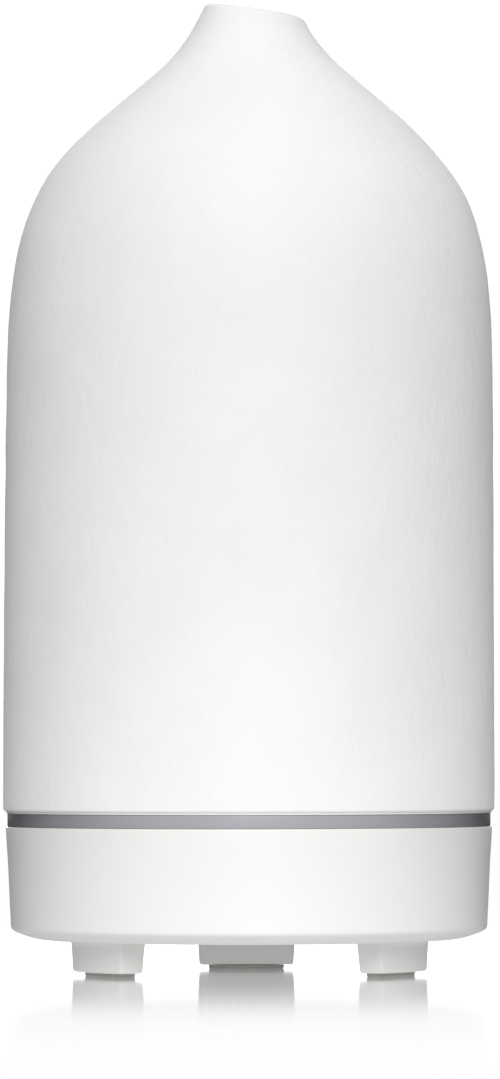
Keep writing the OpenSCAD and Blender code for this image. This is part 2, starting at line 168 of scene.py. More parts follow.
def noise(t, coord, scale, detail=3.0, rough=0.55, stretch=(1, 1, 1)):
    mp = t.nodes.new("ShaderNodeMapping")
    mp.inputs["Scale"].default_value = stretch
    t.links.new(coord, mp.inputs["Vector"])
    n = t.nodes.new("ShaderNodeTexNoise")
    n.inputs["Scale"].default_value = scale
    n.inputs["Detail"].default_value = detail
    n.inputs["Roughness"].default_value = rough
    t.links.new(mp.outputs[0], n.inputs["Vector"])
    return n.outputs["Fac"]


def ramp(t, value, stops):
    r = t.nodes.new("ShaderNodeValToRGB")
    els = r.color_ramp.elements
    while len(els) > 2:
        els.remove(els[-1])
    for i, (pos, col) in enumerate(stops):
        e = els[i] if i < 2 else els.new(pos)
        e.position = pos
        e.color = (*col, 1.0)
    t.links.new(value, r.inputs[0])
    return r.outputs[0]


def maprange(t, value, a, b, c, d):
    m = t.nodes.new("ShaderNodeMapRange")
    for k, v in zip(("From Min", "From Max", "To Min", "To Max"), (a, b, c, d)):
        m.inputs[k].default_value = v
    t.links.new(value, m.inputs["Value"])
    return m.outputs[0]


def bump(t, height, strength, distance, normal=None):
    b = t.nodes.new("ShaderNodeBump")
    b.inputs["Strength"].default_value = strength
    b.inputs["Distance"].default_value = distance
    t.links.new(height, b.inputs["Height"])
    if normal is not None:
        t.links.new(normal, b.inputs["Normal"])
    return b.outputs[0]


def material(name, dark, light, rough=(0.4, 0.5), metallic=0.0, spec=0.5, scale=120.0,
             grain=900.0, grain_depth=0.00001, strength=0.3, ior=1.5, coat=0.0,
             transmission=0.0, stretch=(1, 1, 1), subsurface=0.0, chalk=0.0):
    """Two close colours mixed by a soft pattern, uneven roughness and a fine grain."""
    m, t, p = new_mat(name)
    tc = t.nodes.new("ShaderNodeTexCoord").outputs["Object"]
    soft = noise(t, tc, scale, 4.0, 0.55, stretch)
    t.links.new(ramp(t, soft, [(0.3, dark), (0.7, light)]), p.inputs["Base Color"])
    fine = noise(t, tc, grain, 3.0, 0.6, stretch)
    t.links.new(maprange(t, fine, 0.3, 0.7, rough[0], rough[1]), p.inputs["Roughness"])
    t.links.new(bump(t, fine, strength, grain_depth), p.inputs["Normal"])
    p.inputs["Metallic"].default_value = metallic
    p.inputs["Specular IOR Level"].default_value = spec
    p.inputs["IOR"].default_value = ior
    p.inputs["Coat Weight"].default_value = coat
    p.inputs["Transmission Weight"].default_value = transmission
    p.inputs["Subsurface Weight"].default_value = subsurface
    p.inputs["Diffuse Roughness"].default_value = chalk
    if subsurface:
        p.inputs["Subsurface Radius"].default_value = (1, 1, 1)
        p.inputs["Subsurface Scale"].default_value = 0.002
    m.diffuse_color = (*light, 1)
    return m


def ceramic_material():
    m, t, p = new_mat("ceramic_matte")
    tc = t.nodes.new("ShaderNodeTexCoord").outputs["Object"]
    cloud = noise(t, tc, 45.0, 4.0, 0.6, (1, 1, 0.7))
    speck = noise(t, tc, 1500.0, 2.0, 0.6, (1, 1, 0.55))
    c1 = ramp(t, cloud, [(0.3, (0.905, 0.905, 0.912)), (0.7, (0.938, 0.938, 0.942))])
    c2 = ramp(t, speck, [(0.28, (0.90, 0.90, 0.905)), (0.44, (1.0, 1.0, 1.0))])
    mul = t.nodes.new("ShaderNodeMix")
    mul.data_type = "RGBA"
    mul.blend_type = "MULTIPLY"
    mul.inputs["Factor"].default_value = 0.22
    t.links.new(c1, mul.inputs[6])
    t.links.new(c2, mul.inputs[7])
    t.links.new(mul.outputs[2], p.inputs["Base Color"])
    # runs of small pits drawn out along the height, then a sandy grain
    pits = noise(t, tc, 620.0, 3.0, 0.62, (1, 1, 0.42))
    sand = noise(t, tc, 2300.0, 2.0, 0.6, (1, 1, 0.75))
    n1 = bump(t, pits, 0.55, 0.00022)
    n2 = bump(t, sand, 0.45, 0.00006, n1)
    t.links.new(n2, p.inputs["Normal"])
    t.links.new(maprange(t, speck, 0.3, 0.7, 0.66, 0.86), p.inputs["Roughness"])
    p.inputs["Specular IOR Level"].default_value = 0.35
    p.inputs["Diffuse Roughness"].default_value = 0.33
    return m


def smoke_material():
    m, t, p = new_mat("smoke_band_edge_shaded")
    tc = t.nodes.new("ShaderNodeTexCoord").outputs["Object"]
    soft = noise(t, tc, 90.0, 3.0)
    # the grey is the smoked plastic's own colour; its darkening towards the outline, as the surface turns from the
    # view, is painted shade for the deeper look through the plastic
    lw = t.nodes.new("ShaderNodeLayerWeight")
    lw.inputs["Blend"].default_value = 0.5
    tint = ramp(t, lw.outputs["Facing"], [(0.0, (0.465, 0.46, 0.495)), (0.15, (0.425, 0.42, 0.452)),
                                          (0.30, (0.375, 0.37, 0.398)), (0.50, (0.305, 0.30, 0.322)),
                                          (0.70, (0.190, 0.184, 0.203)), (1.0, (0.047, 0.045, 0.053))])
    vary = ramp(t, soft, [(0.3, (0.96, 0.96, 0.96)), (0.7, (1.0, 1.0, 1.0))])
    mul = t.nodes.new("ShaderNodeMix")
    mul.data_type = "RGBA"
    mul.blend_type = "MULTIPLY"
    mul.inputs["Factor"].default_value = 1.0
    t.links.new(tint, mul.inputs[6])
    t.links.new(vary, mul.inputs[7])
    t.links.new(mul.outputs[2], p.inputs["Base Color"])
    fine = noise(t, tc, 1600.0, 2.0)
    t.links.new(maprange(t, fine, 0.3, 0.7, 0.30, 0.38), p.inputs["Roughness"])
    t.links.new(bump(t, fine, 0.15, 0.00001), p.inputs["Normal"])
    p.inputs["Specular IOR Level"].default_value = 0.4
    p.inputs["Transmission Weight"].default_value = 0.12
    return m


def frosted_material(name, tint, trans):
    m, t, p = new_mat(name)
    tc = t.nodes.new("ShaderNodeTexCoord").outputs["Object"]
    soft = noise(t, tc, 60.0, 4.0)
    fine = noise(t, tc, 1100.0, 3.0)
    t.links.new(ramp(t, soft, [(0.3, tuple(c * 0.965 for c in tint)), (0.7, tint)]), p.inputs["Base Color"])
    t.links.new(maprange(t, fine, 0.3, 0.7, 0.34, 0.5), p.inputs["Roughness"])
    t.links.new(bump(t, fine, 0.2, 0.000015), p.inputs["Normal"])
    p.inputs["Transmission Weight"].default_value = trans
    p.inputs["IOR"].default_value = 1.49
    return m


def board_material(name, mask, line):
    """Solder mask with raised copper runs under it."""
    m, t, p = new_mat(name)
    tc = t.nodes.new("ShaderNodeTexCoord").outputs["Object"]
    v = t.nodes.new("ShaderNodeTexVoronoi")
    v.feature = "DISTANCE_TO_EDGE"
    v.distance = "EUCLIDEAN"
    v.inputs["Scale"].default_value = 240.0
    t.links.new(tc, v.inputs["Vector"])
    runs = ramp(t, v.outputs["Distance"], [(0.05, line), (0.09, mask)])
    t.links.new(runs, p.inputs["Base Color"])
    h = maprange(t, v.outputs["Distance"], 0.04, 0.10, 1.0, 0.0)
    t.links.new(bump(t, h, 0.4, 0.00003), p.inputs["Normal"])
    fine = noise(t, tc, 800.0)
    t.links.new(maprange(t, fine, 0.3, 0.7, 0.28, 0.4), p.inputs["Roughness"])
    return m


def winding_material(name, dark, light, pitch):
    m, t, p = new_mat(name)
    tc = t.nodes.new("ShaderNodeTexCoord").outputs["Object"]
    w = t.nodes.new("ShaderNodeTexWave")
    w.wave_type = "BANDS"
    w.bands_direction = "Z"
    w.inputs["Scale"].default_value = 1.0 / pitch / 3.2
    w.inputs["Distortion"].default_value = 0.4
    t.links.new(tc, w.inputs["Vector"])
    t.links.new(ramp(t, w.outputs["Fac"], [(0.1, dark), (0.7, light)]), p.inputs["Base Color"])
    t.links.new(bump(t, w.outputs["Fac"], 0.6, 0.0001), p.inputs["Normal"])
    p.inputs["Metallic"].default_value = 0.7
    fine = noise(t, tc, 900.0)
    t.links.new(maprange(t, fine, 0.3, 0.7, 0.25, 0.4), p.inputs["Roughness"])
    return m


M = {
    "ceramic": ceramic_material(),
    "smoke": smoke_material(),
    "base": material("base_satin", (0.892, 0.878, 0.864), (0.912, 0.899, 0.887), (0.30, 0.36), spec=0.5,
                     scale=35.0, grain=2600.0, grain_depth=0.000006, strength=0.25, chalk=0.2),
    "button": material("button_satin", (0.87, 0.86, 0.835), (0.90, 0.89, 0.868), (0.26, 0.34), spec=0.5,
                       scale=160.0, grain=2600.0, grain_depth=0.000006, strength=0.25),
    "silicone": material("silicone_white", (0.91, 0.91, 0.91), (0.94, 0.94, 0.94), (0.45, 0.58), spec=0.4,
                         scale=200.0, grain=1600.0, grain_depth=0.00001, subsurface=0.15),
    "pad": material("pad_rubber", (0.34, 0.335, 0.322), (0.43, 0.423, 0.408), (0.68, 0.85), spec=0.3,
                    scale=500.0, grain=2200.0, grain_depth=0.00004, strength=0.6),
    "tank": frosted_material("tank_frosted", (0.90, 0.915, 0.925), 0.42),
    "lid": frosted_material("lid_frosted", (0.925, 0.93, 0.935), 0.30),
    "white": material("white_moulded", (0.88, 0.88, 0.87), (0.92, 0.92, 0.91), (0.38, 0.5), scale=120.0),
    "black": material("black_moulded", (0.018, 0.018, 0.02), (0.032, 0.032, 0.034), (0.32, 0.46),
                      scale=300.0, grain=2400.0, grain_depth=0.00001),
    "steel": material("zinc_steel", (0.60, 0.60, 0.62), (0.74, 0.74, 0.75), (0.22, 0.36), metallic=1.0,
                      scale=700.0, grain=3000.0, grain_depth=0.000006),
    "brass": material("brass_satin", (0.66, 0.50, 0.22), (0.78, 0.62, 0.30), (0.24, 0.36), metallic=1.0,
                      scale=500.0, grain=2600.0, grain_depth=0.000006),
    "alu": material("extruded_aluminium", (0.68, 0.69, 0.71), (0.80, 0.81, 0.83), (0.28, 0.42), metallic=1.0,
                    scale=300.0, grain=1800.0, grain_depth=0.00001, stretch=(4, 0.3, 4)),
    "ferrite": material("ferrite_grey", (0.05, 0.05, 0.052), (0.095, 0.092, 0.09), (0.55, 0.72), spec=0.35,
                        scale=900.0, grain=2600.0, grain_depth=0.00003, strength=0.5),
    "copper": winding_material("copper_wire", (0.42, 0.17, 0.07), (0.80, 0.42, 0.22), 0.00035),
    "green_board": board_material("board_green", (0.018, 0.13, 0.05), (0.04, 0.22, 0.09)),
    "white_board": board_material("board_white", (0.86, 0.86, 0.84), (0.93, 0.93, 0.91)),
    "sleeve": material("capacitor_sleeve", (0.02, 0.03, 0.09), (0.035, 0.05, 0.13), (0.22, 0.3), coat=0.3, scale=200.0),
    "cream": material("connector_nylon", (0.80, 0.77, 0.68), (0.86, 0.83, 0.75), (0.4, 0.52), scale=260.0),
    "led": material("led_phosphor", (0.86, 0.78, 0.36), (0.93, 0.88, 0.56), (0.2, 0.3), scale=900.0, coat=0.6),
    "red": material("lead_red", (0.50, 0.03, 0.025), (0.60, 0.05, 0.04), (0.35, 0.45), scale=400.0),
    "wire_white": material("lead_white", (0.76, 0.76, 0.74), (0.84, 0.84, 0.82), (0.35, 0.45), scale=400.0),
    "blue": material("lead_blue", (0.02, 0.07, 0.34), (0.04, 0.11, 0.44), (0.35, 0.45), scale=400.0),
}

CAD_LOOK = {
    "housing_screws": "steel", "transducer_disc": "brass", "transducer_gasket": "silicone",
    "transducer_retainer": "white", "retainer_screws": "steel", "fan_frame": "black", "fan_stator": "copper",
    "fan_rotor": "black", "fan_magnet": "ferrite", "fan_shaft": "steel", "fan_screws": "steel",
    "main_board": "green_board", "board_screws": "steel", "capacitor": "sleeve", "inductor_core": "ferrite",
    "inductor_winding": "copper", "controller_chip": "black", "chip_leads": "steel", "power_transistor": "black",
    "heat_sink": "alu", "connectors": "cream", "mist_plunger": "black", "light_plunger": "black",
    "mist_switch": "black", "light_switch": "black", "fan_leads": "red", "transducer_leads": "wire_white",
    "led_leads": "blue", "led_board": "white_board", "leds": "led", "ceramic_cover": "ceramic",
    "cover_seat_ring": "silicone", "inner_cover": "lid", "water_tank": "tank", "air_chimney": "tank", "light_ring": "smoke",
    "base_shell": "base", "foot_pad_rear": "pad", "foot_pad_front_left": "pad", "foot_pad_front_right": "pad",
    "dc_jack": "black", "dc_jack_pin": "steel", "mist_button": "button", "light_button": "button",
}
for n, look_name in CAD_LOOK.items():
    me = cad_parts[n].data
    me.materials.clear()
    me.materials.append(M[look_name])


# ------------------------------------------------------------------ mesh helpers (mm in, metres out)

def make(name, verts, faces, mat, smooth_angle=35.0):
    me = bpy.data.meshes.new(name)
    me.from_pydata([tuple(v) for v in np.asarray(verts, float) * MM], [], faces)
    me.materials.append(M[mat])
    me.validate()
    ob = bpy.data.objects.new(name, me)
    scene.collection.objects.link(ob)
    finish_normals(ob, smooth_angle)
    return ob


def finish_normals(ob, smooth_angle):
    me = ob.data
    bm = bmesh.new()
    bm.from_mesh(me)
    bmesh.ops.recalc_face_normals(bm, faces=bm.faces)
    bm.to_mesh(me)
    bm.free()
    me.shade_smooth()
    if smooth_angle:
        me.set_sharp_from_angle(angle=math.radians(smooth_angle))


def fillet(points, steps=5):
    """points: (r, z, radius). Returns the outline with each corner rounded. Closed."""
    out = []
    n = len(points)
    for i, (x, y, rad) in enumerate(points):
        if rad <= 0:
            out.append((x, y))
            continue
        p = np.array((x, y), float)
        a = np.array(points[i - 1][:2], float) - p
        b = np.array(points[(i + 1) % n][:2], float) - p
        la, lb = np.linalg.norm(a), np.linalg.norm(b)
        a, b = a / la, b / lb
        ang = math.acos(max(-1.0, min(1.0, float(a @ b))))
        if ang > math.pi - 0.02:
            out.append((x, y))
            continue
        d = min(rad / math.tan(ang / 2), la * 0.49, lb * 0.49)
        rr = d * math.tan(ang / 2)
        c = p + (a + b) / np.linalg.norm(a + b) * (rr / math.sin(ang / 2))
        s, e = p + a * d - c, p + b * d - c
        a0, a1 = math.atan2(s[1], s[0]), math.atan2(e[1], e[0])
        da = (a1 - a0 + math.pi) % (2 * math.pi) - math.pi
        for k in range(steps + 1):
            t = a0 + da * k / steps
            out.append((c[0] + rr * math.cos(t), c[1] + rr * math.sin(t)))
    return out


def ring_faces(rows, cols, close_rows):
    faces = []
    last = rows if close_rows else rows - 1
    for i in range(last):
        j = (i + 1) % rows
        for k in range(cols):
            l = (k + 1) % cols
            faces.append((i * cols + k, i * cols + l, j * cols + l, j * cols + k))
    return faces


def lathe(name, outline, mat, cols=192, centre=(0, 0), smooth_angle=35.0):
    """Closed outline turned about Z. Points with r = 0 become poles."""
    ang = np.arange(cols) * 2 * math.pi / cols
    rows = len(outline)
    poles = [r <= 1e-6 for r, _ in outline]
    if not any(poles):
        v = np.array([[(r * math.cos(a) + centre[0], r * math.sin(a) + centre[1], z) for a in ang] for r, z in outline]).reshape(-1, 3)
        return make(name, v, ring_faces(rows, cols, True), mat, smooth_angle)
    verts, index, faces = [], [], []
    for (r, z), pole in zip(outline, poles):
        if pole:
            index.append([len(verts)] * cols)
            verts.append((centre[0], centre[1], z))
        else:
            index.append(list(range(len(verts), len(verts) + cols)))
            verts += [(r * math.cos(a) + centre[0], r * math.sin(a) + centre[1], z) for a in ang]
    for i in range(rows):
        j = (i + 1) % rows
        if poles[i] and poles[j]:
            continue
        for k in range(cols):
            l = (k + 1) % cols
            f = [index[i][k], index[i][l], index[j][l], index[j][k]]
            f = [x for q, x in enumerate(f) if x not in f[:q]]
            if len(f) > 2:
                faces.append(tuple(f))
    return make(name, verts, faces, mat, smooth_angle)


def join(name, obs):
    bm = bmesh.new()
    for o in obs:
        o.data.transform(o.matrix_world)
        bm.from_mesh(o.data)
    me = bpy.data.meshes.new(name)
    bm.to_mesh(me)
    bm.free()
    for m in obs[0].data.materials:
        me.materials.append(m)
    sharp = [o for o in obs]
    for o in sharp:
        old = o.data
        bpy.data.objects.remove(o)
        bpy.data.meshes.remove(old)
    ob = bpy.data.objects.new(name, me)
    scene.collection.objects.link(ob)
    return ob


def spline(points, per):
    """Centripetal curve through the points, per steps for each span."""
    p = np.array(points, float)
    p = np.vstack([2 * p[0] - p[1], p, 2 * p[-1] - p[-2]])
    out = []
    for i in range(1, len(p) - 2):
        a, b, c, d = p[i - 1], p[i], p[i + 1], p[i + 2]
        t0 = 0.0
        t1 = t0 + math.sqrt(np.linalg.norm(b - a))
        t2 = t1 + math.sqrt(np.linalg.norm(c - b))
        t3 = t2 + math.sqrt(np.linalg.norm(d - c))
        for k in range(per):
            t = t1 + (t2 - t1) * k / per
            A1 = (t1 - t) / (t1 - t0) * a + (t - t0) / (t1 - t0) * b
            A2 = (t2 - t) / (t2 - t1) * b + (t - t1) / (t2 - t1) * c
            A3 = (t3 - t) / (t3 - t2) * c + (t - t2) / (t3 - t2) * d
            B1 = (t2 - t) / (t2 - t0) * A1 + (t - t0) / (t2 - t0) * A2
            B2 = (t3 - t) / (t3 - t1) * A2 + (t - t1) / (t3 - t1) * A3
            out.append((t2 - t) / (t2 - t1) * B1 + (t - t1) / (t2 - t1) * B2)
    out.append(p[-2])
    return np.array(out)


def boolean(ob, cutters, smooth_angle=35.0):
    for c in cutters:
        m = ob.modifiers.new("cut", "BOOLEAN")
        m.operation = "DIFFERENCE"
        m.solver = "EXACT"
        m.object = c
    bpy.context.view_layer.update()
    dg = bpy.context.evaluated_depsgraph_get()
    me = bpy.data.meshes.new_from_object(ob.evaluated_get(dg))
    ob.modifiers.clear()
    old = ob.data
    ob.data = me
    bpy.data.meshes.remove(old)
    for c in cutters:
        old = c.data
        bpy.data.objects.remove(c)
        bpy.data.meshes.remove(old)
    me.shade_smooth()
    me.set_sharp_from_angle(angle=math.radians(smooth_angle))
    return ob


def tube_cutter(r, z0, z1, cols=64):
    ang = np.arange(cols) * 2 * math.pi / cols
    v = [(r * math.cos(a), r * math.sin(a), z) for z in (z0, z1) for a in ang]
    f = [(k, (k + 1) % cols, cols + (k + 1) % cols, cols + k) for k in range(cols)]
    f += [tuple(range(cols))[::-1], tuple(range(cols, 2 * cols))]
    return make("cutter", v, f, "base", 0)


def rounded_rect(w, d, radii, steps=6):
    """radii: for the corners (+x,+y), (-x,+y), (-x,-y), (+x,-y)."""
    out = []
    for (sx, sy, a0), rad in zip(((1, 1, 0), (-1, 1, 90), (-1, -1, 180), (1, -1, 270)), radii):
        cx, cy = sx * (w / 2 - rad), sy * (d / 2 - rad)
        for k in range(steps + 1):
            a = math.radians(a0 + 90 * k / steps)
            out.append((cx + rad * math.cos(a), cy + rad * math.sin(a)))
    return out


def loft(name, rings, mat, smooth_angle=40.0, caps=True):
    n = len(rings[0])
    v = [p for r in rings for p in r]
    f = ring_faces(len(rings), n, False)
    if caps:
        f += [tuple(range(n))[::-1], tuple(range((len(rings) - 1) * n, len(rings) * n))]
    return make(name, v, f, mat, smooth_angle)


def periodic_noise(rows, cols, ds, dt, lo, hi, aspect, seed):
    """Band-limited noise on a wrapped grid. ds, dt: spacing in mm; lo, hi: wavelengths; aspect: stretch along rows."""
    rng = np.random.default_rng(seed)
    f = np.fft.fft2(rng.standard_normal((rows, cols)))
    fy = np.fft.fftfreq(rows, ds)[:, None] * aspect
    fx = np.fft.fftfreq(cols, dt)[None, :]
    k = np.sqrt(fx * fx + fy * fy) + 1e-9
    mid = 1 / math.sqrt(lo * hi)
    band = math.log(hi / lo) / 2
    f *= np.exp(-0.5 * (np.log(k / mid) / (band * 0.75)) ** 2)
    g = np.fft.ifft2(f).real
    return g / g.std()


# ------------------------------------------------------------------ ceramic cover

CUT_Z, CUT_X, CUT_Y = 176.0, -0.147, 0.05
OUTER = [(44.74, 31.3), (44.75, 34.0), (44.74, 42.9), (44.69, 53.8), (44.62, 64.7), (44.55, 75.6), (44.48, 86.5),
         (44.39, 97.5), (44.29, 104.8), (44.15, 112.1), (43.86, 119.4), (43.60, 123.0), (43.24, 126.7),
         (42.69, 130.3), (41.92, 133.9), (40.81, 137.5), (39.33, 141.2), (37.35, 144.8), (34.77, 148.4),
         (31.53, 152.1), (27.71, 155.7), (23.45, 159.3), (19.05, 163.0), (15.02, 166.6), (12.02, 170.3),
         (10.75, 172.3), (9.80, 174.1), (9.05, 175.5), (8.50, 176.7), (8.15, 178.2)]
INNER = [(6.0, 171.5), (7.4, 168.2), (11.2, 163.9), (17.4, 158.0), (24.4, 151.6), (30.2, 146.0), (34.8, 140.0),
         (37.9, 132.6), (39.6, 123.0), (40.3, 100.0), (40.75, 60.0), (40.75, 36.0), (40.75, 31.0)]


# the fired body isn't perfectly true: small radius errors, and its axis wanders by a few tenths
TRUE_Z = [30, 42, 57, 72, 92, 107, 117, 127, 137, 147, 152, 155, 158, 162, 166, 169, 172, 180]
TRUE_R = [0.0, 0.0, 0.01, 0.045, 0.06, 0.10, 0.12, 0.07, 0.055, 0.02, -0.08, -0.06, 0.0, 0.09, 0.11, 0.03, -0.03, -0.08]
LEAN_Z = [30, 36, 50, 68, 85, 105, 115, 127, 134, 141, 145, 148, 150.5, 153, 155, 158, 163, 167, 171, 180]
LEAN_X = [-0.03, -0.03, 0.02, 0.086, 0.13, 0.21, 0.28, 0.40, 0.42, 0.54, 0.42, 0.34, 0.38, 0.55, 0.62, 0.66, 0.72, 0.66, 0.55, 0.55]


def soft(z, zs, vs):
    """Piecewise smooth lookup."""
    z = np.asarray(z, float)
    fine = np.linspace(zs[0], zs[-1], 601)
    v = np.interp(fine, zs, vs)
    k = np.hanning(25)
    v = np.convolve(np.pad(v, 12, mode="edge"), k / k.sum(), "valid")
    return np.interp(z, fine, v)


def build_cover():
    cols = 384
    ang = np.arange(cols) * 2 * math.pi / cols
    dense = spline(OUTER, 24)
    dense[:, 0] += soft(dense[:, 1], TRUE_Z, TRUE_R)
    # even spacing along the outline
    s = np.r_[0, np.cumsum(np.hypot(*np.diff(dense, axis=0).T))]
    n_out = 168
    ss = np.linspace(0, s[-1], n_out)
    prof = np.stack([np.interp(ss, s, dense[:, 0]), np.interp(ss, s, dense[:, 1])], 1)
    top = prof[-1, 1]
    z0 = 164.0
    ca, sa = np.cos(ang), np.sin(ang)
    # height of the cut at the outer wall, for each direction
    h = np.full(cols, CUT_Z)
    for _ in range(12):
        rh = np.interp(h, dense[:, 1], dense[:, 0])
        h = CUT_Z + CUT_X * rh * ca + CUT_Y * rh * sa
    rho = 1.75 - 0.55 * np.cos(ang - math.radians(161.2))
    # directions of the neck going up, and of the cut going in
    t1 = np.stack([np.interp(h, dense[:, 1], dense[:, 0]) - np.interp(h - 2.0, dense[:, 1], dense[:, 0]), np.full(cols, 2.0)])
    t1 /= np.linalg.norm(t1, axis=0)
    t2 = np.stack([-np.ones(cols), -(CUT_X * ca + CUT_Y * sa)])
    t2 /= np.linalg.norm(t2, axis=0)
    turn = np.arccos(np.clip((t1 * t2).sum(0), -1, 1))
    d = rho * np.tan(turn / 2)
    zb = h - t1[1] * d
    rows_r, rows_z = [], []
    for r_i, z_i in prof:
        if z_i <= z0:
            rows_r.append(np.full(cols, r_i))
            rows_z.append(np.full(cols, z_i))
        else:
            zz = z0 + (z_i - z0) * (zb - z0) / (top - z0)
            rows_z.append(zz)
            rows_r.append(np.interp(zz, dense[:, 1], dense[:, 0]))
    n_body = len(rows_r)
    # rounded outer lip (an exact arc between the two directions), the cut, rounded inner lip
    w = np.cos(turn / 2)
    S = np.stack([rows_r[-1], rows_z[-1]])
    C = np.stack([rh, h])
    E = C + t2 * d
    for k in range(1, 9):
        t = k / 8
        den = (1 - t) ** 2 + 2 * w * t * (1 - t) + t * t
        p = ((1 - t) ** 2 * S + 2 * w * t * (1 - t) * C + t * t * E) / den
        rows_r.append(p[0])
        rows_z.append(p[1])
    ri = np.full(cols, 6.7)
    r_from = rows_r[-1]
    for t in (0.35, 0.7, 1.0):
        r = r_from * (1 - t) + ri * t
        rows_r.append(r)
        rows_z.append(CUT_Z + CUT_X * r * ca + CUT_Y * r * sa)
    hi = CUT_Z + CUT_X * 6.0 * ca + CUT_Y * 6.0 * sa
    for a in (30, 60, 90):
        rows_r.append(6.7 - 0.7 * np.full(cols, math.sin(math.radians(a))))
        rows_z.append(hi - 0.7 * (1 - math.cos(math.radians(a))))
    zlast = rows_z[-1]
    inner = spline(INNER, 4)
    for t in (0.33, 0.66):
        rows_r.append(np.full(cols, 6.0))
        rows_z.append(zlast * (1 - t) + 171.5 * t)
    for r_i, z_i in inner:
        rows_r.append(np.full(cols, r_i))
        rows_z.append(np.full(cols, z_i))
    foot = fillet([(40.75, 31.0, 0), (40.75, 29.66, 0.4), (44.42, 29.66, 0.1), (44.72, 30.02, 0.3), (44.74, 31.0, 0)], 4)
    for r_i, z_i in foot[1:-1]:
        rows_r.append(np.full(cols, r_i))
        rows_z.append(np.full(cols, z_i))
    R = np.array(rows_r)
    Z = np.array(rows_z)
    # relief: slow unevenness of a moulded ceramic body, then shallow drawn-out dents
    ds = float(ss[1] - ss[0])
    dt = 2 * math.pi * 44.7 / cols
    slow = periodic_noise(n_body, cols, ds, dt, 12.0, 40.0, 0.8, 7)
    dents = periodic_noise(n_body, cols, ds, dt, 2.2, 5.0, 0.55, 11)
    fine = periodic_noise(n_body, cols, ds, dt, 1.3, 2.4, 0.6, 23)
    rows = np.arange(n_body)
    fade = np.clip(rows / 3.0, 0, 1) * np.clip((n_body - 1 - rows) / 6.0, 0, 1)
    small = np.clip(R[:n_body] / 44.7, 0.25, 1.0)
    relief = 0.022 * slow + 0.016 * np.minimum(dents, 1.2) + 0.009 * fine
    relief = (relief - relief.mean()) * fade[:, None] * small
    dr = np.gradient(R[:n_body], axis=0)
    dz = np.gradient(Z[:n_body], axis=0)
    ln = np.hypot(dr, dz)
    R[:n_body] += relief * dz / ln
    Z[:n_body] -= relief * dr / ln
    X = R * ca + soft(Z, LEAN_Z, LEAN_X)
    v = np.stack([X, R * sa, Z], -1).reshape(-1, 3)
    return make("cover_bell", v, ring_faces(len(R), cols, True), "ceramic", 0)


cover = build_cover()
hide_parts("ceramic_cover")
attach(cover, "cover")

seat = lathe("seat_gasket", fillet([(42.0, 29.12, 0.1), (43.35, 29.12, 0.03), (43.45, 29.27, 0.03), (44.2, 29.27, 0.06),
                                    (44.2, 29.65, 0.06), (42.0, 29.65, 0.1)], 4),
             "silicone", 256)
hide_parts("cover_seat_ring")
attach(seat, "seat_ring")


# ------------------------------------------------------------------ base

